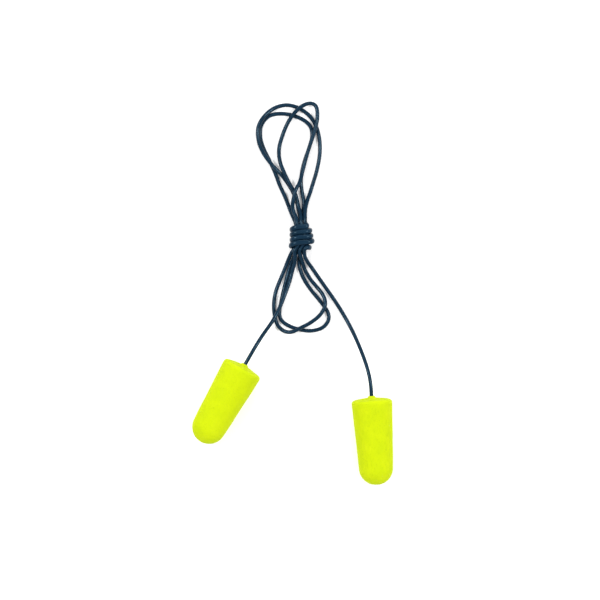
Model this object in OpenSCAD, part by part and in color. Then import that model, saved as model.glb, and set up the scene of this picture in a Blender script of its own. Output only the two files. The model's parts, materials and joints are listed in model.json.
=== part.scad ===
// Corded foam ear plugs: two tapered soft foam plugs on one vinyl cord.
// The cord is wound into a hank with three upper loops, two lower loops and a
// wrapped knot, and it lies flat on a table with both plugs beside it.
// Z = 0 is the table. +Y runs from the plugs to the upper loops.
// The origin is the centre of the footprint.
// The cord is one piece on the real object. It is divided here at the places
// where it flexes, so that every length can turn on its own joint.

/* [Cord] */
// Diameter of the round cord
cord_d = 1.1; // [0.9:0.05:1.2]
// Air between strands that lie on one another
cord_gap = 0.05; // [0.02:0.01:0.1]
// Sides of the cord's round section
cord_sides = 12; // [8:2:16]
// Longest facet along a curved strand
cord_step = 1.35; // [0.8:0.05:2.5]
// Distance from a flex point to the centre of each rounded end beside it
flex_offset = 0.66; // [0.6:0.02:0.9]

/* [Foam plug] */
// Length from the collar's end to the tip
plug_len = 24.8; // [22:0.5:28]
// Diameter at the wide end
plug_base_d = 11.3; // [10.5:0.1:13]
// Diameter of the round tip
plug_tip_d = 9.5; // [8.5:0.1:10.5]
// Radius of the rounded rim at the wide end
rim_r = 0.9; // [0.6:0.1:2]
// Wall of the raised collar round the cord hole
collar_t = 0.2; // [0.15:0.05:1]
// Height of the raised collar
collar_h = 0.4; // [0.2:0.05:1]
// Height of the wide end's shallow cone, from the rim to the collar
face_rise = 0.65; // [0:0.05:1.5]

/* [Bond] */
// Depth of the cord hole in the foam
bore_depth = 8; // [5:0.5:10]
// Thickness of the adhesive round the cord
glue_t = 0.2; // [0.15:0.05:0.6]
// Radial clearance between cord, adhesive and foam
bond_gap = 0.02; // [0.01:0.01:0.05]

/* [Knot] */
// Position of the knot's centre from the origin
knot_at = [2.46, 15.34]; // [-20:0.01:20]
// Distance from one wrap turn to the next
wrap_pitch = 1.45; // [1.2:0.05:1.8]
// Whole turns before the last, steeper one
wrap_turns = 3; // [2:1:4]
// Half length of the flat on the wrap's outline
wrap_flat = 1.15; // [0.6:0.05:1.6]
// Radius of the rounded sides of the wrap's outline
wrap_r = 1.7; // [1.5:0.05:1.9]
// How much further right each turn reaches than the one above it
wrap_grow = 0.3; // [0:0.05:0.3]
// How far each turn drops where it rounds the left side
wrap_droop = 0.5; // [0:0.05:0.6]
// Height along the knot of the first front turn
wrap_top = 3.05; // [2.8:0.05:3.1]
// Extra half width of the last turn on the left
last_flare = 0.25; // [0:0.05:0.6]
// Distance the last turn falls along the knot
last_drop = 2; // [1.6:0.05:2.2]

/* [Plug positions] */
// Left plug's collar end, from the knot's centre
left_at = [-15.6, -35.15]; // [-60:0.01:60]
// Left plug's heading from +X
left_heading = 240.1; // [200:0.1:280]
// Right plug's collar end, from the knot's centre
right_at = [19.36, -43.9]; // [-60:0.01:60]
// Right plug's heading from +X
right_heading = 273.7; // [240:0.1:320]
// Straight length of cord behind each plug
neck_len = 2.8; // [2.5:0.1:6]

/* [Part to draw] */
// Node to draw

/* [Hidden] */
$fn = 64;
// Flex planes across the hank: above the knot, in the tall loop and below the knot.
upper_flex = 4.5;
tall_flex = 9.2;
lower_flex = -4.6;
cord_r = cord_d / 2;
layer_h = cord_d + cord_gap;
navy = [0.10, 0.22, 0.33];
navy_light = [0.16, 0.27, 0.37];
glue_clear = [0.90, 0.90, 0.86];
neon = [0.87, 0.95, 0.13];

// Plug outline values, measured along the plug from its collar end.
base_r = plug_base_d / 2;
tip_r = plug_tip_d / 2;
tip_at = plug_len - tip_r;
rim_at = collar_h + face_rise + rim_r;
plug_tilt = asin((base_r - tip_r) / (tip_at - rim_at));
nub_z = tip_r + tip_at * sin(plug_tilt);
bore_r = cord_r + glue_t + 2 * bond_gap;

// Strand ends on the two sides of each flex plane.
core_top = upper_flex - flex_offset;
bow_start = upper_flex + flex_offset;
tall_root_end = tall_flex - flex_offset;
tall_start = tall_flex + flex_offset;
core_low = lower_flex + flex_offset;
low_start = lower_flex - flex_offset;

// Strand points are [x, y, layer] from the knot's centre: layer 0 lies on the
// table and each further layer is one cord higher.
core = [
  [[-1.6, core_top, 1.05], [-1.3, 1.5, 1.09], [-1.35, -1.2, 1.08], [-1.84, -2.8, 1.08], [-2.62, core_low, 0.9]],
  [[-0.2, core_top, 1.03], [0, 1.5, 1.07], [0, -1.2, 1.07], [-0.53, -2.82, 1.05], [-1.25, core_low, 0.9]],
  [[1.05, core_top, 1.07], [1.22, 1.5, 1.13], [1.25, -1.2, 1.1], [0.79, -2.8, 1.07], [0.17, core_low, 0.9]],
  [[-1.3, core_top, 2.01], [-0.68, 1.8, 1.9], [-0.7, -1.5, 1.9], [-1.36, -2.8, 2.0], [-1.95, core_low, 1.9]],
  [[-0.11, core_top, 2.0], [0.6, 1.8, 1.96], [0.6, -1.5, 1.94], [0.02, -2.8, 1.97], [-0.6, core_low, 1.85]]
];
outer_pts = [
  [-0.3, bow_start, 0.85], [-0.75, 7.4, 0.3], [-1.35, 9.9, 0], [-2.3, 12.5, 0], [-3.95, 15.3, 0.1],
  [-5.8, 17.75, 0.45], [-8.2, 20.2, 1.05], [-10.6, 23.5, 1.0], [-11.95, 26.9, 1.0], [-12.05, 30.6, 1.0],
  [-10.4, 33.7, 1.0], [-7.5, 36.1, 0.3], [-4.1, 36.95, 0], [-0.8, 36.1, 0], [2.3, 33.85, 0],
  [4.15, 30.8, 0], [5.05, 27.0, 0], [5.05, 23.0, 0], [4.25, 18.7, 0], [3.0, 14.5, 0],
  [2.35, 12.4, 0.25], [1.65, 10.4, 0.75], [1.05, 7.8, 1.45], [0.98, bow_start, 2.0]
];
inner_pts = [
  [-2.1, bow_start, 0.85], [-2.75, 6.6, 0.4], [-3.5, 8.6, 0], [-4.6, 11.4, 0], [-6.15, 14.8, 0],
  [-7.4, 18.2, 0], [-8.95, 21.5, 0], [-10.55, 24.8, 0], [-11.45, 28.0, 0], [-11.2, 31.3, 0],
  [-9.2, 33.8, 0], [-6.0, 34.55, 0], [-2.6, 34.1, 0], [0.5, 32.8, 0], [2.5, 30.9, 0],
  [2.95, 28.2, 0], [2.1, 25.0, 0], [0.9, 21.5, 0], [0.15, 18.5, 0], [-0.15, 15.6, 0],
  [0.15, 12.6, 0], [0.7, 9.7, 0.1], [0.5, 7.2, 0.4], [0.9, bow_start, 0.85]
];
tall_pts = [
  [-1.1, tall_start, 1.05], [-1.8, 12.3, 1.05], [-3.25, 14.8, 1.05], [-4.72, 17.8, 1.18], [-6.0, 21.2, 1.0],
  [-6.25, 24.8, 0.6], [-5.2, 28.7, 0.6], [-3.65, 32.2, 1.0], [-1.5, 35.2, 1.05], [0.7, 36.9, 1.0],
  [2.7, 37.4, 0.7], [4.15, 36.3, 0.9], [4.4, 33.2, 1.05], [3.6, 29.6, 1.05], [2.3, 25.6, 1.05],
  [1.15, 21.8, 1.05], [0.25, 18.3, 1.1], [-0.5, 15.4, 1.6], [-1.75, 12.9, 2.1], [-2.4, tall_start, 1.9]
];
tall_left_root = [[-0.15, bow_start, 1.9], [-0.35, 7.0, 1.5], [-0.85, tall_root_end, 1.15]];
tall_right_root = [[-1.35, bow_start, 1.85], [-2.15, 7.0, 1.5], [-2.5, tall_root_end, 1.65]];
over_pts = [
  [-0.25, low_start, 1.35], [0.3, -7.0, 0.5], [1.0, -9.0, 0], [2.4, -11.5, 0], [4.3, -13.8, 0.1],
  [6.05, -16.1, 0.7], [6.6, -18.7, 1.05], [5.2, -21.45, 1.05], [2.6, -23.6, 1.05], [-0.3, -25.15, 1.05],
  [-2.9, -26.3, 0.8], [-5.2, -25.85, 0.2], [-6.85, -24.0, 0], [-7.55, -21.3, 0], [-7.7, -18.2, 0],
  [-7.15, -15.0, 0], [-5.95, -11.8, 0], [-4.7, -8.8, 0], [-3.9, -6.7, 0.2], [-3.28, low_start, 0.6]
];
under_pts = [
  [-0.6, low_start, 0.2], [-0.7, -7.6, 0], [0.4, -11.0, 0], [2.45, -14.3, 0], [5.2, -17.7, 0],
  [7.25, -20.6, 0], [7.5, -23.0, 0], [5.7, -25.15, 0], [2.4, -25.95, 0], [-1.0, -25.45, 0],
  [-3.9, -24.35, 0], [-5.75, -22.8, 0], [-6.15, -20.7, 0], [-5.65, -17.8, 0], [-5.0, -14.8, 0],
  [-4.2, -11.5, 0], [-3.2, -8.0, 0], [-2.05, low_start, 0.5]
];
left_root_pts = [[-1.75, low_start, 1.6], [-1.95, -7.2, 1.0], [-2.45, -8.66, 0.75]];
right_root_pts = [[0.9, low_start, 1.55], [1.7, -6.8, 0.7], [2.92, -8.44, 0.05]];
// Flex points of the tails, as [x, y, z] from the knot's centre.
left_flex = [[-2.6, -9.3, 1.3], [-4.75, -16.2, 1.95], [-7.5, -22.3, 2.75], [-10.7, -27.0, 4.5]];
right_flex = [[3.3, -9.0, 0.55], [9.65, -18.15, 0.55], [13.45, -24.6, 1.6], [16.6, -31.6, 3.9]];

function pick(p, i) =
  i < 0 ? 2 * p[0] - p[1] :
  i >= len(p) ? 2 * p[len(p) - 1] - p[len(p) - 2] :
  p[i];

// Point on the smooth curve through p, at fraction t between points i and i+1.
function curve(p, i, t) =
  let (a = pick(p, i - 1), b = p[i], c = p[i + 1], d = pick(p, i + 2))
  0.5 * (2 * b + (c - a) * t + (2 * a - 5 * b + 4 * c - d) * t * t + (3 * b - a - 3 * c + d) * t * t * t);

// A strand never dips below the table.
function rest_on_table(q) = [q[0], q[1], max(cord_r, q[2])];

function stations(p) = [
  for (i = [0 : len(p) - 2])
    let (n = max(1, ceil(norm(p[i + 1] - p[i]) / cord_step)))
    for (j = [0 : n - 1]) rest_on_table(curve(p, i, j / n)),
  p[len(p) - 1]
];

// Layer heights turned into millimetres.
function lay(p) = [for (q = p) [q[0], q[1], cord_r + layer_h * q[2]]];

function unit(v) = v / norm(v);

function tangent(s, i) = unit(s[min(i + 1, len(s) - 1)] - s[max(i - 1, 0)]);

function turned(n, t) = unit(n - (n * t) * t);

// Normals carried along the curve without twist, starting near vertical.
function normals(s, i = 0, n = [0.01, 0.02, 1]) =
  i == len(s) ? [] :
  let (m = turned(n, tangent(s, i)))
  concat([m], normals(s, i + 1, m));

// Rings of one strand: two shrinking rings at each rounded end.
function rings(s) =
  let (n = len(s) - 1, m = normals(s))
  [
    for (a = [60, 30]) [s[0] - tangent(s, 0) * cord_r * sin(a), tangent(s, 0), m[0], cord_r * cos(a)],
    for (i = [0 : n]) [s[i], tangent(s, i), m[i], cord_r],
    for (a = [30, 60]) [s[n] + tangent(s, n) * cord_r * sin(a), tangent(s, n), m[n], cord_r * cos(a)]
  ];

// A length of round cord along stations s, with rounded ends.
module strand(s) {
  k = cord_sides;
  r = rings(s);
  m = len(r);
  ring_points = [
    for (q = r)
      for (j = [0 : k - 1])
        q[0] + q[3] * (cos(360 * j / k) * q[2] + sin(360 * j / k) * cross(q[1], q[2]))
  ];
  tips = [s[0] - tangent(s, 0) * cord_r, s[len(s) - 1] + tangent(s, len(s) - 1) * cord_r];
  side_faces = [
    for (i = [0 : m - 2])
      for (j = [0 : k - 1])
        for (f = [
          [i * k + j, (i + 1) * k + j, (i + 1) * k + (j + 1) % k],
          [i * k + j, (i + 1) * k + (j + 1) % k, i * k + (j + 1) % k]
        ]) f
  ];
  start_faces = [for (j = [0 : k - 1]) [m * k, j, (j + 1) % k]];
  end_faces = [for (j = [0 : k - 1]) [m * k + 1, (m - 1) * k + (j + 1) % k, (m - 1) * k + j]];
  polyhedron(
    points = concat(ring_points, tips),
    faces = concat(side_faces, start_faces, end_faces),
    convexity = 8
  );
}

// Point on the wrap's outline: 0 is the right side, 90 the top and 180 the left.
// wide is the half length of the flat between the rounded sides.
function wrap_point(a, y, wide) = [
  wrap_r * cos(a) + wide * max(-1, min(1, 3.5 * cos(a))),
  y - wrap_droop * max(0, -cos(a)),
  cord_r + wrap_r + wrap_r * sin(a)
];

// The first turn starts on top, and every later one grows on the right.
function wrap_wide(a) = a > 270 && cos(a) > 0 ? wrap_flat + wrap_grow * (a / 360 - 2) : wrap_flat;

// The last turn is wide on the left and closes in on the right.
function last_wide(a) = cos(a) < 0 ? wrap_flat + last_flare : wrap_flat - wrap_tuck;

// Angle between points on a turn, and how far the last turn tucks in on the right.
wrap_angle = 24;
wrap_tuck = 0.5;
wrap_low = wrap_top - wrap_pitch * wrap_turns;
wrap_body = [
  for (a = [72 : wrap_angle : 90 + 360 * wrap_turns])
    wrap_point(a, wrap_top - wrap_pitch * (a - 90) / 360, wrap_wide(a))
];
wrap_last = [
  for (a = [100 : wrap_angle : 364])
    wrap_point(a, wrap_low - last_drop * (a - 90) / 360, last_wide(a))
];
wrap_in = [[1.13, core_top, 2.99], [1.62, 3.45, 3.5]];
wrap_out = [[2.0, -2.75, 3.1], [1.55, -2.75, 3.65], [1.0, -3.05, 3.65], [0.8, core_low, 2.85]];

module at_knot() {
  translate([knot_at[0], knot_at[1], 0])
    children();
}

// Straight length of cord between two flex points, clear of both.
module link(a, b) {
  v = b - a;
  h = norm(v) - 2 * flex_offset;
  cap = [for (t = [0 : 15 : 90]) [cord_r * sin(t), cord_r * cos(t)]];
  outline = concat(
    [for (q = cap) [q[0], h + q[1]]],
    [for (i = [len(cap) - 1 : -1 : 0]) [cap[i][0], -cap[i][1]]]
  );
  translate(a + flex_offset * unit(v))
    rotate([0, acos(v[2] / norm(v)), atan2(v[1], v[0])])
      rotate_extrude()
        polygon(outline);
}

module core_strands() {
  color(navy)
    at_knot()
      for (p = core)
        strand(stations(lay(p)));
}

module wrap_turns() {
  color(navy_light)
    at_knot()
      strand(stations(concat(wrap_in, wrap_body, wrap_last, wrap_out)));
}

module cord_run(p) {
  color(navy)
    at_knot()
      strand(stations(lay(p)));
}

module outer_loop() {
  cord_run(outer_pts);
}

module inner_loop() {
  cord_run(inner_pts);
}

module tall_loop_roots() {
  cord_run(tall_left_root);
  cord_run(tall_right_root);
}

module tall_loop() {
  cord_run(tall_pts);
}

module lower_loop_over() {
  cord_run(over_pts);
}

module lower_loop_under() {
  cord_run(under_pts);
}

module left_tail_root() {
  cord_run(left_root_pts);
}

module right_tail_root() {
  cord_run(right_root_pts);
}

// Heading of a plug as a 3-D direction from its collar to its tip.
function plug_dir(heading) = [
  cos(heading) * cos(plug_tilt),
  sin(heading) * cos(plug_tilt),
  -sin(plug_tilt)
];

function nub_point(at) = [at[0], at[1], nub_z];

left_nub = nub_point(left_at);
right_nub = nub_point(right_at);
left_nod = left_nub - neck_len * plug_dir(left_heading);
right_nod = right_nub - neck_len * plug_dir(right_heading);

module tail_link(a, b) {
  color(navy)
    at_knot()
      link(a, b);
}

module left_tail_1() {
  tail_link(left_flex[0], left_flex[1]);
}

module left_tail_2() {
  tail_link(left_flex[1], left_flex[2]);
}

module left_tail_3() {
  tail_link(left_flex[2], left_flex[3]);
}

module left_tail_4() {
  tail_link(left_flex[3], left_nod);
}

module left_neck() {
  tail_link(left_nod, left_nub);
}

module right_tail_1() {
  tail_link(right_flex[0], right_flex[1]);
}

module right_tail_2() {
  tail_link(right_flex[1], right_flex[2]);
}

module right_tail_3() {
  tail_link(right_flex[2], right_flex[3]);
}

module right_tail_4() {
  tail_link(right_flex[3], right_nod);
}

module right_neck() {
  tail_link(right_nod, right_nub);
}

// Puts a plug's own Z axis along its heading, with its collar end at the nub.
module at_plug(nub, heading) {
  at_knot()
    translate(nub)
      rotate([0, 90 + plug_tilt, heading])
        children();
}

// Round-ended length of cord glued into the foam.
module cord_end() {
  start = 0.1;
  chamfer = 0.3 * cord_r;
  color(navy)
    rotate_extrude()
      polygon([
        [0, start],
        [cord_r - chamfer, start],
        [cord_r, start + chamfer],
        [cord_r, bore_depth - 2 * glue_t],
        [0, bore_depth - 2 * glue_t]
      ]);
}

// Cup of adhesive between the cord's end and the foam.
module adhesive() {
  color(glue_clear)
    translate([0, 0, 1])
      difference() {
        cylinder(r = cord_r + bond_gap + glue_t, h = bore_depth - 1 - bond_gap);
        translate([0, 0, -1])
          cylinder(r = cord_r + bond_gap, h = bore_depth - 2 * glue_t + bond_gap);
      }
}

// Foam body: collar, conical face, rounded rim, taper and round tip.
module foam_plug() {
  collar_r = bore_r + collar_t;
  collar_edge = collar_t / 2;
  tip_start = atan2(base_r - tip_r, tip_at - rim_at);
  flat_r = base_r - rim_r;
  rim_start = atan2(face_rise, flat_r - collar_r) - 90;
  rim_steps = 6;
  rim = [
    for (i = [0 : rim_steps])
      let (a = rim_start * (1 - i / rim_steps))
      [flat_r + rim_r * cos(a), rim_at + rim_r * sin(a)]
  ];
  tip = [for (a = [tip_start : (90 - tip_start) / 10 : 89]) [tip_r * cos(a), tip_at + tip_r * sin(a)]];
  color(neon)
    rotate_extrude()
      polygon(concat(
        [[bore_r, 0], [collar_r - collar_edge, 0], [collar_r, collar_edge], [collar_r, collar_h]],
        rim,
        tip,
        [[0, plug_len], [0, bore_depth], [bore_r, bore_depth]]
      ));
}

module left_cord_end() {
  at_plug(left_nub, left_heading)
    cord_end();
}

module left_adhesive() {
  at_plug(left_nub, left_heading)
    adhesive();
}

module left_foam_plug() {
  at_plug(left_nub, left_heading)
    foam_plug();
}

module right_cord_end() {
  at_plug(right_nub, right_heading)
    cord_end();
}

module right_adhesive() {
  at_plug(right_nub, right_heading)
    adhesive();
}

module right_foam_plug() {
  at_plug(right_nub, right_heading)
    foam_plug();
}

core_strands();
wrap_turns();
outer_loop();
inner_loop();
tall_loop_roots();
tall_loop();
lower_loop_over();
lower_loop_under();
left_tail_root();
left_tail_1();
left_tail_2();
left_tail_3();
left_tail_4();
left_neck();
left_cord_end();
left_adhesive();
left_foam_plug();
right_tail_root();
right_tail_1();
right_tail_2();
right_tail_3();
right_tail_4();
right_neck();
right_cord_end();
right_adhesive();
right_foam_plug();
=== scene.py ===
import json
import math

import bpy
import numpy as np
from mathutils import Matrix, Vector, noise


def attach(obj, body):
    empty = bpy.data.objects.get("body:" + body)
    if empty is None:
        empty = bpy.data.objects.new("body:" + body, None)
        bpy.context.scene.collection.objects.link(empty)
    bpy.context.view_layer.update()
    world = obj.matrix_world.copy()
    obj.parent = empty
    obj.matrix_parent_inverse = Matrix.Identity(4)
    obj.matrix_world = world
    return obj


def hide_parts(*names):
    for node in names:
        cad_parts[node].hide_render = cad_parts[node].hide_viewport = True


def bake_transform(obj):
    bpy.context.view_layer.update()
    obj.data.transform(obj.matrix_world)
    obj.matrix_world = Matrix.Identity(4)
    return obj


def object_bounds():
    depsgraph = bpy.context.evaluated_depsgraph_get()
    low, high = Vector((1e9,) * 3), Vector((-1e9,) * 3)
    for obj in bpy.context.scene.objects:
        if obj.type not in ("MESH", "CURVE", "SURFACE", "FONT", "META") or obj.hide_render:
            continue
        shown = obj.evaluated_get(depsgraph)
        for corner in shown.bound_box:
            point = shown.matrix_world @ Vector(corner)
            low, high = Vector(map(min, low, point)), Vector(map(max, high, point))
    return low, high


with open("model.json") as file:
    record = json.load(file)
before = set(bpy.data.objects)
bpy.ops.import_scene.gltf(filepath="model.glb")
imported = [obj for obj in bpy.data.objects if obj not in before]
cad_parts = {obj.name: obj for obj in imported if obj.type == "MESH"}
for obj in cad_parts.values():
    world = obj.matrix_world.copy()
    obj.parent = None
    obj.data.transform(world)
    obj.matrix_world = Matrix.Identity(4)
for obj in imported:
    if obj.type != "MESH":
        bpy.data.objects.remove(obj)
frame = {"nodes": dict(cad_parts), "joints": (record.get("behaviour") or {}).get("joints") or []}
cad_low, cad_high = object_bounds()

# Corded foam ear plugs, wound into a hank. One smooth path is laid through the CAD's cord lengths and
# flex points and cut into tubes, each of which spans one flex point at most. The plugs are
# revolved from the CAD's outline. Lengths are in mm, and times MM where Blender takes metres.

MM = 0.001
JOINTS = {j["name"]: j for j in frame["joints"]}
REST_GAP = 0.01  # the skin stays this far above the table it rests on

# The cord
CORD_R = 0.55  # half the cord's diameter in the CAD
STEP = 0.25  # between rings of the finished cord
SIDES = 20
PATH_PASSES = 4  # rounds of smoothing on the cord's path
RIPPLES = ((9.0, (3.1, 7.7), 0.022), (1.7, (8.2, 1.4), 0.008))  # wavelength, place in the noise, share
OVAL = 0.012  # how far the section is from round, as a share of the radius
OVAL_TURN = 23.0  # cord length over which the oval's phase moves by one radian
PRESS_FADE = 2.5  # cord length over which the pressed section of the knot's turns begins and ends
PRESS_WIDER = 0.28  # share by which a pressed turn is wider along the knot
PRESS_THINNER = 0.05  # share by which it is thinner towards the knot's middle

# Where the cord is cut into pieces
WRAP_START = 3.0  # cord length of the wrap that belongs to the outer loop's piece
WRAP_END = 1.2  # cord length of the wrap that belongs to the right root's piece
LOWER_ROOT = 2.9  # from the lower hinge down to where the roots end and the tails begin
UPPER_ROOT = 0.6  # from the bow's hinge up to where the tall loop's roots may first be cut
PLUG_INSIDE = 0.6  # how deep in the plug the neck gives way to the end held by the adhesive
GLUE_GAP = 0.04  # between the cord that turns and the end held in the plug
BEND_SHARE = 0.97  # share of each tail length passed to bend_zone as the reach of its bend

# The plugs
PLUG_STEP = 0.16  # between rings along the plug's outline
PLUG_SIDES = 210
PLUG_PASSES = 3  # rounds of smoothing on the plug's outline
TIP_POINTS = 60
LIP_GAP = 0.03  # between the cord and the foam lip that closes round it
MOUTH_EDGE = 0.34  # from the lip's radius out to where the CAD's own outline takes over
FADE_RINGS = 6  # rings over which the uneven skin begins, beyond the mouth
SKIN_SHIFT = {"left": 11.3, "right": 47.9}  # keeps the two plugs' skins different
SWELLS = ((5.0, 0.07), (2.1, 0.025), (0.55, 0.014))  # wavelength and height of each layer of unevenness
PORE_CELL = 0.8  # one possible pore in each cell of this size
PORE_SHARE = 0.30  # a pore's radius as a share of its cell
PORE_DEPTH = 0.07
PORE_PATCH = 1.3  # size of the patches that do or don't have pores
PORE_LEVEL = 0.05  # noise value above which a patch has pores

# The picture
CAMERA_OFFSET = (2.04, -2.02)  # from the middle of the object, in x and y
CAMERA_HEIGHT = 853
SENSOR = 36
LENS = 183.6

# Joints along each tail, from the loops out to the plug
FLEX_POINTS = ["tail_lift", "tail_sweep", "tail_lift_outer", "tail_sweep_outer", "plug_nod"]

# CAD nodes in the order in which the one cord passes through them, between its two tails
ORDER = [
    "left_tail_root", "core_strands", "tall_loop_roots", "tall_loop", "tall_loop_roots", "core_strands",
    "lower_loop_over", "core_strands", "inner_loop", "core_strands", "lower_loop_under", "core_strands",
    "outer_loop", "wrap_turns", "right_tail_root",
]


def pivot(name):
    return np.array(JOINTS[name]["pos_m"]) / MM


def plug_axis(side):
    """Direction from the plug's mouth, which is at the twist joint's pivot, to its tip."""
    a = np.array(JOINTS[side + "_plug_twist"]["axis"], float)
    return a / np.linalg.norm(a)


def vertices(node):
    mesh = frame["nodes"][node].data
    co = np.zeros(len(mesh.vertices) * 3)
    mesh.vertices.foreach_get("co", co)
    return co.reshape(-1, 3) / MM


def gaps(points):
    """Distance from each point to the next."""
    return np.linalg.norm(np.diff(points, axis=0), axis=1)


def stations(lengths):
    """Place of each point along a line whose points are these lengths apart."""
    return np.concatenate([[0], np.cumsum(lengths)])


def smooth(points, passes):
    """Pulls every inner point towards its two neighbours, in place."""
    for _ in range(passes):
        points[1:-1] = 0.25 * points[:-2] + 0.5 * points[1:-1] + 0.25 * points[2:]


# ---------------------------------------------------------------- the cord's path


def strands(node):
    """Centre of every ring of each swept solid in a CAD node, end to end."""
    cap_sides = 10  # a vertex with this many neighbours is the middle of an end cap
    cap_rings = 3  # rings at each rounded end that the path leaves out
    mesh = frame["nodes"][node].data
    co = vertices(node)
    keys, inverse = np.unique(np.round(co * 1000).astype(int), axis=0, return_inverse=True)
    inverse = inverse.reshape(-1)
    point = np.zeros((len(keys), 3))
    point[inverse] = co
    near = [set() for _ in keys]
    for e in mesh.edges:
        a, b = int(inverse[e.vertices[0]]), int(inverse[e.vertices[1]])
        if a != b:
            near[a].add(b)
            near[b].add(a)
    seen, found = set(), []
    for tip in (i for i, n in enumerate(near) if len(n) >= cap_sides):
        if tip in seen:
            continue
        level, rings = {tip}, []
        while level:
            rings.append(point[list(level)].mean(0))
            seen |= level
            level = set().union(*(near[i] for i in level)) - seen
        found.append(np.array(rings[cap_rings:-cap_rings]))
    return found


def tail_points(side):
    """From deep inside a plug, along the flex points, to the last one beside the loops."""
    mouth, axis = pivot(side + "_plug_twist"), plug_axis(side)
    depth = ((vertices(side + "_cord_end") - mouth) @ axis).max()
    inside = [mouth + axis * depth * share for share in (1.0, 0.66, 0.33)]
    return inside + [mouth] + [pivot(f"{side}_{n}") for n in reversed(FLEX_POINTS)]


def whole_path():
    """The one cord as control points, with the first and last index of each CAD length on it."""
    pool = {n: strands(n) for n in set(ORDER)}
    left, right = tail_points("left"), tail_points("right")
    path, spans = list(left), [("left_tail", 0, len(left) - 1)]
    for name in ORDER:
        ends = [(i, k) for i in range(len(pool[name])) for k in (0, -1)]
        _, i, k = min((np.linalg.norm(pool[name][i][k] - path[-1]), i, k) for i, k in ends)
        s = pool[name].pop(i)
        s = s if k == 0 else s[::-1]
        spans.append((name, len(path), len(path) + len(s) - 1))
        path.extend(s)
    spans.append(("right_tail", len(path), len(path) + len(right) - 1))
    path.extend(right[::-1])
    return np.array(path), spans


def cubic(points, step):
    """Natural cubic spline through the points, sampled every step; also each point's own sample index."""
    h = gaps(points)
    t = stations(h)
    n = len(points)
    a, b = np.eye(n), np.zeros((n, 3))
    for i in range(1, n - 1):
        a[i, i - 1], a[i, i], a[i, i + 1] = h[i - 1], 2 * (h[i - 1] + h[i]), h[i]
        b[i] = 6 * ((points[i + 1] - points[i]) / h[i] - (points[i] - points[i - 1]) / h[i - 1])
    m = np.linalg.solve(a, b)
    u = np.linspace(0, t[-1], int(t[-1] / step) + 1)
    i = np.clip(np.searchsorted(t, u, side="right") - 1, 0, n - 2)
    hi, x = h[i][:, None], (u - t[i])[:, None]
    y = hi - x
    out = (
        m[i] * y**3 / (6 * hi)
        + m[i + 1] * x**3 / (6 * hi)
        + (points[i] / hi - m[i] * hi / 6) * y
        + (points[i + 1] / hi - m[i + 1] * hi / 6) * x
    )
    return out, np.round(t / (u[1] - u[0])).astype(int)


def carried_normals(tangents):
    """A normal for each tangent, carried along the cord without twist from upright at its start."""
    normals = np.zeros_like(tangents)
    n = np.array([0.0, 0.0, 1.0])
    for i, t in enumerate(tangents):
        n = n - (n @ t) * t
        n = n / np.linalg.norm(n)
        normals[i] = n
    return normals


CONTROL, SPANS = whole_path()
PATH, INDEX = cubic(CONTROL, STEP)
smooth(PATH, PATH_PASSES)
PATH[:, 2] = np.maximum(PATH[:, 2], CORD_R)
TANGENT = np.gradient(PATH, axis=0)
TANGENT /= np.linalg.norm(TANGENT, axis=1)[:, None]
NORMAL = carried_normals(TANGENT)
SIDE = np.cross(TANGENT, NORMAL)


def span(name, turn=0):
    """First and last sample of the turn-th CAD length of that name along the cord."""
    hits = [s for s in SPANS if s[0] == name]
    return INDEX[hits[turn][1]], INDEX[hits[turn][2]]


def middle(name, turn):
    a, b = span(name, turn)
    return int((a + b) // 2)


WRAP = span("wrap_turns")

# ---------------------------------------------------------------- meshes


def new_object(name, verts, faces, material, rest_at):
    """A smooth mesh of one material; rest_at is each vertex's place in the material's textures."""
    mesh = bpy.data.meshes.new(name)
    mesh.from_pydata([tuple(v) for v in verts], [], faces)
    mesh.polygons.foreach_set("use_smooth", [True] * len(mesh.polygons))
    mesh.update()
    obj = bpy.data.objects.new(name, mesh)
    bpy.context.scene.collection.objects.link(obj)
    place = mesh.attributes.new("rest_at", "FLOAT_VECTOR", "POINT")
    place.data.foreach_set("vector", np.asarray(rest_at, np.float32).ravel())
    mesh.materials.append(material)
    return obj


def bands(rows, sides):
    """Faces between neighbouring rings, for rows + 1 rings of so many sides."""
    return [
        (k * sides + j, k * sides + (j + 1) % sides, (k + 1) * sides + (j + 1) % sides, (k + 1) * sides + j)
        for k in range(rows)
        for j in range(sides)
    ]


def radius_at(i):
    """Extruded vinyl is never quite even: a slow swell and a faster ripple along its length."""
    swell = 1.0
    for length, (y, z), share in RIPPLES:
        swell += share * noise.noise(Vector((i * STEP / length, y, z)))
    return CORD_R * swell


def pressed(i, outward):
    """Section change where the turns are pulled tight: wider along the knot, thinner towards its middle."""
    inside = min(i - WRAP[0], WRAP[1] - i) * STEP
    fade = min(1.0, max(0.0, inside / PRESS_FADE))
    along = outward[1] ** 2 / max(1e-6, 1 - TANGENT[i][1] ** 2)
    return 1 + fade * (PRESS_WIDER * along - PRESS_THINNER * (1 - along))


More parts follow.
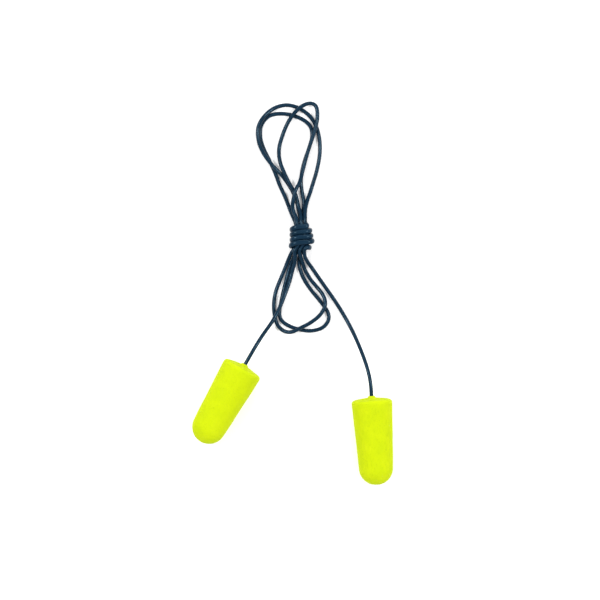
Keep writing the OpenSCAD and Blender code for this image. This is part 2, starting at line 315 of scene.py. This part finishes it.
def tube(name, a, b, trim=(0.0, 0.0)):
    """Length of cord between samples a and b, closed at both ends, each of which trim may cut back."""
    angles = np.arange(SIDES) * 2 * math.pi / SIDES
    verts, where = [], []
    for i in range(a, b + 1):
        r = radius_at(i)
        at = PATH[i] + ((i == a) * trim[0] - (i == b) * trim[1]) * TANGENT[i]
        for q in angles:
            oval = 1 + OVAL * math.cos(2 * q + i * STEP / OVAL_TURN)
            outward = math.cos(q) * NORMAL[i] + math.sin(q) * SIDE[i]
            point = at + r * oval * pressed(i, outward) * outward
            point[2] = max(point[2], REST_GAP)
            verts.append(point * MM)
            where.append((math.cos(q) * CORD_R, math.sin(q) * CORD_R, i * STEP))
    rows = b - a
    faces = bands(rows, SIDES)
    for i, first in ((a, 0), (b, rows * SIDES)):
        centre = len(verts)
        verts.append(np.mean(verts[first : first + SIDES], axis=0))
        where.append((0, 0, i * STEP))
        for j in range(SIDES):
            one, two = first + j, first + (j + 1) % SIDES
            faces.append((centre, two, one) if first == 0 else (centre, one, two))
    obj = new_object(name, verts, faces, CORD, where)
    ends = set(range(SIDES)) | set(range(rows * SIDES, rows * SIDES + SIDES))
    for e in obj.data.edges:
        e.use_edge_sharp = ends.issuperset(e.vertices)
    return obj


# ---------------------------------------------------------------- materials


class Nodes:
    """Short hand for building a node tree."""

    def __init__(self, name):
        self.material = bpy.data.materials.new(name)
        self.material.use_nodes = True
        self.tree = self.material.node_tree
        self.shader = self.tree.nodes["Principled BSDF"]

    def feed(self, socket, value):
        """Links another node's output into socket, or gives it a plain value."""
        if isinstance(value, bpy.types.NodeSocket):
            self.tree.links.new(value, socket)
        else:
            socket.default_value = value

    def add(self, kind, inputs=None, **settings):
        n = self.tree.nodes.new(kind)
        for key, value in settings.items():
            setattr(n, key, value)
        for key, value in (inputs or {}).items():
            self.feed(n.inputs[key], value)
        return n

    def set(self, **values):
        for key, value in values.items():
            self.feed(self.shader.inputs[key.replace("_", " ")], value)

    def scaled(self, vector, scale):
        return self.add("ShaderNodeMapping", {"Vector": vector, "Scale": scale}).outputs["Vector"]

    def at(self, scale=(1, 1, 1)):
        """Place in the textures, which stays with a piece when it bends or moves."""
        place = self.add("ShaderNodeAttribute", attribute_name="rest_at")
        return self.scaled(place.outputs["Vector"], scale)

    def ramp(self, value, *stops):
        r = self.add("ShaderNodeValToRGB", {"Fac": value})
        elements = r.color_ramp.elements
        while len(elements) < len(stops):
            elements.new(0.5)
        for element, (position, colour) in zip(elements, stops):
            element.position = position
            element.color = (*colour, 1)
        return r.outputs["Color"]

    def fade(self, value, start, end, low=0.0, high=1.0):
        """Grey that goes from low to high while value goes from start to end."""
        return self.ramp(value, (start, (low, low, low)), (end, (high, high, high)))

    def noise(self, vector, scale, detail=3.0, rough=0.5):
        inputs = {"Vector": vector, "Scale": scale, "Detail": detail, "Roughness": rough}
        return self.add("ShaderNodeTexNoise", inputs).outputs["Fac"]

    def cells(self, vector, scale, randomness=1.0):
        inputs = {"Vector": vector, "Scale": scale, "Randomness": randomness}
        return self.add("ShaderNodeTexVoronoi", inputs).outputs["Distance"]

    def math(self, op, a, b=0.0, c=0.0):
        return self.add("ShaderNodeMath", {0: a, 1: b, 2: c}, operation=op).outputs[0]

    def mix(self, fac, a, b, blend="MIX"):
        n = self.add("ShaderNodeMix", data_type="RGBA", blend_type=blend)
        for key, value in ((0, fac), (6, a), (7, b)):
            self.feed(n.inputs[key], (*value, 1) if isinstance(value, tuple) else value)
        return n.outputs[2]

    def bump(self, height, distance, strength, normal=None):
        inputs = {"Height": height, "Distance": distance, "Strength": strength}
        if normal is not None:
            inputs["Normal"] = normal
        return self.add("ShaderNodeBump", inputs).outputs["Normal"]


def cord_material():
    """Navy vinyl: satin skin, drawn-out extrusion lines, faint cloudiness and rubbed patches."""
    deep, navy, light = (0.0016, 0.0105, 0.0235), (0.0028, 0.0155, 0.0350), (0.0052, 0.0215, 0.0450)
    line_blue, rubbed_blue = (0.0105, 0.0310, 0.0540), (0.0260, 0.0500, 0.0720)
    n = Nodes("navy_vinyl")
    even = n.at()
    cloud = n.noise(even, scale=0.35, detail=4.0, rough=0.55)
    lines = n.noise(n.at((3.2, 3.2, 0.12)), scale=2.2, detail=5.0, rough=0.6)
    fine = n.noise(even, scale=7.0, rough=0.6)
    scuff = n.noise(n.at((1.4, 1.4, 0.5)), scale=1.1, detail=6.0, rough=0.7)
    rubbed = n.fade(scuff, 0.58, 0.74, high=0.55)
    base = n.ramp(cloud, (0.30, deep), (0.52, navy), (0.75, light))
    base = n.mix(n.fade(lines, 0.40, 0.75, high=0.5), base, line_blue)
    base = n.mix(rubbed, base, rubbed_blue)
    rough = n.math("MULTIPLY_ADD", fine, 0.12, 0.17)
    rough = n.math("ADD", rough, n.math("MULTIPLY", rubbed, 0.22))
    normal = n.bump(lines, 0.02 * MM, 0.6)
    normal = n.bump(fine, 0.008 * MM, 0.5, normal)
    n.set(Base_Color=base, Roughness=rough, Normal=normal, IOR=1.5)
    n.set(Specular_IOR_Level=0.17, Specular_Tint=(0.55, 0.84, 1.0, 1.0))
    return n.material


def foam_material():
    """Slow-recovery foam: fluorescent yellow-green, matt moulded skin with fine open pores, painted shade
    inside the pores and a faint painted glow.
    """
    shade, neon, bright = (0.445, 0.550, 0.0046), (0.478, 0.576, 0.0040), (0.505, 0.594, 0.0056)
    # the second colour here is painted shade, laid inside the pores
    grain_green, pore_painted_shade = (0.420, 0.552, 0.0052), (0.33, 0.45, 0.004)
    n = Nodes("neon_foam")
    at = n.at()
    cloud = n.noise(at, scale=0.28)
    grain = n.noise(at, scale=4.5, detail=4.0, rough=0.6)
    fine = n.noise(at, scale=11.0, detail=2.0, rough=0.6)
    cells = n.cells(at, scale=5.5, randomness=0.9)
    patches = n.fade(n.noise(at, scale=1.3, detail=2.0), 0.44, 0.56)
    pores = n.fade(n.cells(at, scale=2.6), 0.10, 0.30, low=1.0, high=0.0)
    pores = n.mix(1.0, pores, patches, "MULTIPLY")
    base = n.ramp(cloud, (0.30, shade), (0.55, neon), (0.75, bright))
    base = n.mix(n.fade(grain, 0.35, 0.60, low=0.35, high=0.0), base, grain_green)
    # painted shade: the foam is darkened inside its pores
    base = n.mix(n.math("MULTIPLY", pores, 0.60), base, pore_painted_shade)
    rough = n.math("MULTIPLY_ADD", grain, 0.16, 0.72)
    normal = n.bump(pores, -0.08 * MM, 0.9)
    normal = n.bump(grain, 0.045 * MM, 0.65, normal)
    normal = n.bump(cells, 0.035 * MM, 0.6, normal)
    normal = n.bump(fine, 0.012 * MM, 0.5, normal)
    n.set(Base_Color=base, Roughness=rough, Normal=normal, IOR=1.42, Specular_IOR_Level=0.12)
    n.set(Specular_Tint=(0.9, 1.0, 0.4, 1.0))
    n.set(Subsurface_Weight=0.25, Subsurface_Scale=1.4 * MM, Subsurface_Radius=(1.0, 1.0, 0.25))
    # painted glow: the foam gives off a little of its own colour, though it is no lamp
    n.set(Emission_Color=base, Emission_Strength=0.06)
    return n.material


def glue_material():
    """Clear bonding cement, slightly cloudy, with small trapped bubbles."""
    clear, cloudy = (0.62, 0.60, 0.48), (0.80, 0.79, 0.68)
    n = Nodes("bond_cement")
    at = n.scaled(n.add("ShaderNodeTexCoord").outputs["Object"], (1 / MM, 1 / MM, 1 / MM))
    cloud = n.noise(at, scale=1.5, detail=4.0)
    bubbles = n.cells(at, scale=3.5)
    n.set(Base_Color=n.ramp(cloud, (0.3, clear), (0.7, cloudy)))
    n.set(Roughness=n.math("MULTIPLY_ADD", cloud, 0.2, 0.25), Transmission_Weight=0.35)
    n.set(Normal=n.bump(bubbles, 0.05 * MM, 0.5))
    return n.material


CORD = cord_material()
FOAM = foam_material()
GLUE = glue_material()

# ---------------------------------------------------------------- cord pieces

UPPER = pivot("upper_bow_fold")
LOWER = pivot("lower_bow_fold")
TALL = pivot("tall_loop_lift")

# Bend for a piece where it leaves the knot or, for the tall loop, the other upper loops, which bend_zone
# takes but does not apply: from body, to body, hinge, direction, and where the bend begins before the hinge
# and ends after it
UPPER_FOLD = ("knot", "upper_bow", UPPER, (0, 1, 0), 0.5, 2.4)
TALL_LIFT = ("upper_bow", "tall_bow", TALL, (0, 1, 0), 1.2, 2.2)
LOWER_FOLD = ("knot", "lower_bow", LOWER, (0, -1, 0), -0.4, 2.6)


def bend_zone(obj, a, b, centre, direction, before, after):
    """Bakes obj's placement into its mesh; a, b, centre, direction, before and after are not used."""
    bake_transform(obj)


def crossing(name, test, turn=0):
    """First sample of a CAD length, or just beside it, whose y passes test."""
    beside = 9
    a, b = span(name, turn)
    return next(i for i in range(a - beside, b + beside) if test(PATH[i][1]))


def nearest(point, a, b):
    """The sample in a..b that is nearest to point."""
    d = np.linalg.norm(PATH[a : b + 1] - point, axis=1)
    return a + int(d.argmin())


# The tall loop's roots are cut between the bow's hinge and its own, and the tails' roots below the knot.
cut_high = 0.5 * (UPPER[1] + UPPER_ROOT + TALL[1])
cut_low = LOWER[1] - LOWER_ROOT
left_cut = crossing("left_tail_root", lambda y: y > cut_low)
up_cut = crossing("tall_loop_roots", lambda y: y > cut_high)
down_cut = crossing("tall_loop_roots", lambda y: y < cut_high, turn=1)
right_cut = crossing("right_tail_root", lambda y: y < cut_low)
core = [middle("core_strands", k) for k in range(5)]
loop_cut = WRAP[0] + int(WRAP_START / STEP)
root_cut = WRAP[1] - int(WRAP_END / STEP)

# Name, first and last sample, bend, and the CAD nodes it replaces; a piece without a bend rides the knot.
PIECES = [
    ("cord_left_root", left_cut, core[0], LOWER_FOLD, ["left_tail_root", "core_strands"]),
    ("cord_tall_root_right", core[0], up_cut, UPPER_FOLD, ["tall_loop_roots", "core_strands"]),
    ("cord_tall_loop", up_cut, down_cut, TALL_LIFT, ["tall_loop"]),
    ("cord_tall_root_left", down_cut, core[1], UPPER_FOLD, ["tall_loop_roots", "core_strands"]),
    ("cord_lower_loop_over", core[1], core[2], LOWER_FOLD, ["lower_loop_over", "core_strands"]),
    ("cord_inner_loop", core[2], core[3], UPPER_FOLD, ["inner_loop", "core_strands"]),
    ("cord_lower_loop_under", core[3], core[4], LOWER_FOLD, ["lower_loop_under", "core_strands"]),
    ("cord_outer_loop", core[4], loop_cut, UPPER_FOLD, ["outer_loop", "wrap_turns"]),
    ("cord_wrap_turns", loop_cut, root_cut, None, ["wrap_turns"]),
    ("cord_right_root", root_cut, right_cut, LOWER_FOLD, ["right_tail_root", "wrap_turns"]),
]


def cord_piece(name, a, b, bend, nodes):
    piece = tube(name, a, b)
    if bend:
        bend_zone(piece, *bend)
    else:
        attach(piece, "knot")
    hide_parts(*nodes)


def tail(side, cut):
    """The five lengths of one tail, each spanning one flex point, and the end held in the plug."""
    first, last = span(side + "_tail")
    outwards, end = (-1, first) if side == "left" else (1, last)
    a, b = sorted((cut, end))
    nodes = [f"{side}_tail_{k}" for k in (1, 2, 3, 4)] + [side + "_neck"]
    bodies = ["lower_bow"] + nodes
    at = [nearest(pivot(f"{side}_{n}"), a, b) for n in FLEX_POINTS]
    held_from = nearest(pivot(side + "_plug_twist") + PLUG_INSIDE * plug_axis(side), a, b)
    cuts = [cut] + [(p + q) // 2 for p, q in zip(at, at[1:])] + [held_from]
    for k, node in enumerate(nodes):
        direction = TANGENT[at[k]] * outwards
        reach = [BEND_SHARE * abs((PATH[c] - PATH[at[k]]) @ direction) for c in cuts[k : k + 2]]
        piece = tube("cord_" + node, *sorted(cuts[k : k + 2]))
        bend_zone(piece, bodies[k], bodies[k + 1], PATH[at[k]], direction, *reach)
        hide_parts(node)
    a, b = sorted((held_from, end))
    held = tube(f"cord_{side}_end", a, b, (GLUE_GAP * (a == held_from), GLUE_GAP * (b == held_from)))
    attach(held, side + "_plug")
    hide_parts(side + "_cord_end")


for row in PIECES:
    cord_piece(*row)
tail("left", left_cut)
tail("right", right_cut)

# ---------------------------------------------------------------- foam plugs


def tip_arc(begin, end):
    """The round tip as an arc, from its first point on the CAD outline to the axis at distance end."""
    height = end - begin[0]
    radius = (begin[1] ** 2 + height**2) / (2 * height)
    centre = end - radius
    a = np.linspace(math.atan2(begin[0] - centre, begin[1]), math.pi / 2, TIP_POINTS)
    return np.column_stack([centre + radius * np.sin(a), radius * np.cos(a)])


def taper_end(points):
    """Index of the point beyond the plug's middle where the straight taper turns into the round tip."""
    straight = math.radians(2)  # the most that rounding turns the taper
    edges = np.diff(points, axis=0)
    turn = np.abs(np.diff(np.arctan2(edges[:, 1], edges[:, 0])))
    beyond = points[1:-1, 0] > points[-1, 0] / 2
    return 1 + int((beyond & (turn > straight)).argmax())


def outline(side):
    """The plug's outside as (distance from the mouth, radius), with the hole's radius and its depth."""
    mouth, axis = pivot(side + "_plug_twist"), plug_axis(side)
    v = vertices(side + "_foam_plug") - mouth
    t = v @ axis
    r = np.linalg.norm(v - t[:, None] * axis, axis=1)
    bore = r[np.abs(t) < 0.01].min()  # the inner edge at the mouth
    depth = t[np.abs(r - bore) < 0.02].max()  # the far end of the hole's wall
    pairs = np.unique(np.round(np.column_stack([t, r]), 2), axis=0)
    keep = pairs[pairs[:, 1] > bore + 0.05]  # all that is wider than the hole
    keep = keep[np.argsort(keep[:, 0] + 1e-3 * keep[:, 1])]
    tip = taper_end(keep)
    return np.vstack([keep[:tip], tip_arc(keep[tip], t.max())]), bore, depth


def resample(points, step):
    """The same line with its points about step apart."""
    s = stations(gaps(points))
    u = np.linspace(0, s[-1], int(round(s[-1] / step)) + 1)
    return np.column_stack([np.interp(u, s, points[:, k]) for k in (0, 1)])


def plug_profile(outer, bore, depth):
    """From the bottom of the hole, out of its mouth and along the outside; also the last even ring."""
    lip = CORD_R + LIP_GAP
    # The hole's wall, the lip that closes round the cord, and the lip's rounded edge
    mouth = np.array([
        [depth, bore * 0.5], [depth, bore], [depth * 0.5, bore], [1.0, bore],
        [0.7, lip + 0.06], [0.45, lip], [0.22, lip], [0.08, lip + 0.04], [0.0, lip + 0.14],
        [0.01, lip + 0.28],
    ])
    dense = resample(outer, PLUG_STEP)
    smooth(dense, PLUG_PASSES)
    begin = int((dense[:, 1] > lip + MOUTH_EDGE).argmax())
    return np.vstack([mouth, dense[begin:-1]]), len(mouth) - 2


def skin_height(p, shift):
    """Moulded foam skin: slow unevenness, a dimpled grain and scattered open pores."""
    q = Vector(p) + Vector((shift, shift * 0.7, -shift))
    height = sum(noise.noise(q / length) * most for length, most in SWELLS)
    if noise.noise(q / PORE_PATCH) > PORE_LEVEL:
        away = noise.voronoi(q / PORE_CELL)[0][0]
        height -= PORE_DEPTH * max(0.0, 1 - away / PORE_SHARE)
    return height


def foam_plug(side):
    mouth, axis = pivot(side + "_plug_twist"), plug_axis(side)
    outer, bore, depth = outline(side)
    profile, last_even = plug_profile(outer, bore, depth)
    slope = np.gradient(profile, axis=0)
    across = np.cross(axis, (0, 0, 1.0))
    across /= np.linalg.norm(across)
    up = np.cross(across, axis)
    shift = SKIN_SHIFT[side]
    verts, where = [], []
    for k, (t, r) in enumerate(profile):
        dt, dr = slope[k]
        fade = min(1.0, max(0.0, (k - last_even) / FADE_RINGS))
        for j in range(PLUG_SIDES):
            q = 2 * math.pi * j / PLUG_SIDES
            ray = math.cos(q) * across + math.sin(q) * up
            normal = (ray * dt - axis * dr) / math.hypot(dt, dr)
            local = np.array([r * math.cos(q), r * math.sin(q), t])
            verts.append(mouth + axis * t + ray * r + normal * skin_height(local, shift) * fade)
            where.append(local)
    tip = outer[:, 0].max()
    bottom_index, tip_index = len(verts), len(verts) + 1
    verts.append(mouth + axis * depth)
    verts.append(mouth + axis * (tip + skin_height((0, 0, tip), shift)))
    where.append((0, 0, depth))
    where.append((0, 0, tip))
    rows = len(profile) - 1
    end = rows * PLUG_SIDES
    faces = bands(rows, PLUG_SIDES)
    faces += [(bottom_index, (j + 1) % PLUG_SIDES, j) for j in range(PLUG_SIDES)]
    faces += [(tip_index, end + j, end + (j + 1) % PLUG_SIDES) for j in range(PLUG_SIDES)]
    verts = np.array(verts)
    verts[:, 2] = np.maximum(verts[:, 2], REST_GAP)
    obj = new_object(side + "_plug_foam", verts * MM, faces, FOAM, np.array(where) + shift)
    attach(obj, side + "_plug")
    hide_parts(side + "_foam_plug")


for side in ("left", "right"):
    foam_plug(side)
    adhesive = frame["nodes"][side + "_adhesive"].data
    adhesive.materials.clear()
    adhesive.materials.append(GLUE)

# ---------------------------------------------------------------- floor, light, camera


def pale_floor():
    bpy.ops.mesh.primitive_plane_add(size=4.0, location=(0, 0, 0))
    floor = bpy.context.object
    floor.name = "floor"
    pale = Nodes("pale_floor")
    pale.set(Base_Color=(0.93, 0.93, 0.93, 1), Roughness=0.9, Specular_IOR_Level=0.1)
    pale.set(Emission_Color=(1, 1, 1, 1), Emission_Strength=0.15)
    floor.data.materials.append(pale.material)


def softbox(name, at, size, power):
    """A round light of that size, at that place (both in metres), aimed at the object."""
    light = bpy.data.lights.new(name, "AREA")
    light.shape = "DISK"
    light.size = size
    light.energy = power
    obj = bpy.data.objects.new(name, light)
    bpy.context.scene.collection.objects.link(obj)
    obj.location = at
    obj.rotation_euler = (-Vector(at)).to_track_quat("-Z", "Y").to_euler()


def studio_world():
    world = bpy.data.worlds.new("studio")
    world.use_nodes = True
    background = world.node_tree.nodes["Background"]
    background.inputs["Color"].default_value = (1, 1, 1, 1)
    background.inputs["Strength"].default_value = 0.70
    bpy.context.scene.world = world
    bpy.context.scene.view_settings.view_transform = "Standard"


def camera_above():
    """Looks straight down, from so high that the hank is seen with hardly any perspective."""
    centre = (cad_low + cad_high) / 2
    x, y = CAMERA_OFFSET
    camera = bpy.data.cameras.new("camera")
    camera.sensor_width = SENSOR
    camera.lens = LENS
    camera.clip_start = 0.05
    obj = bpy.data.objects.new("camera", camera)
    bpy.context.scene.collection.objects.link(obj)
    obj.location = (centre.x + x * MM, centre.y + y * MM, CAMERA_HEIGHT * MM)
    obj.rotation_euler = (0, 0, 0)
    bpy.context.scene.camera = obj


pale_floor()
softbox("left_softbox", (-0.56, 0.14, 0.92), 0.17, 6.2)
softbox("right_softbox", (0.60, 0.10, 0.90), 0.17, 6.2)
softbox("far_softbox", (0.05, 0.82, 0.38), 0.30, 1.5)
studio_world()
camera_above()
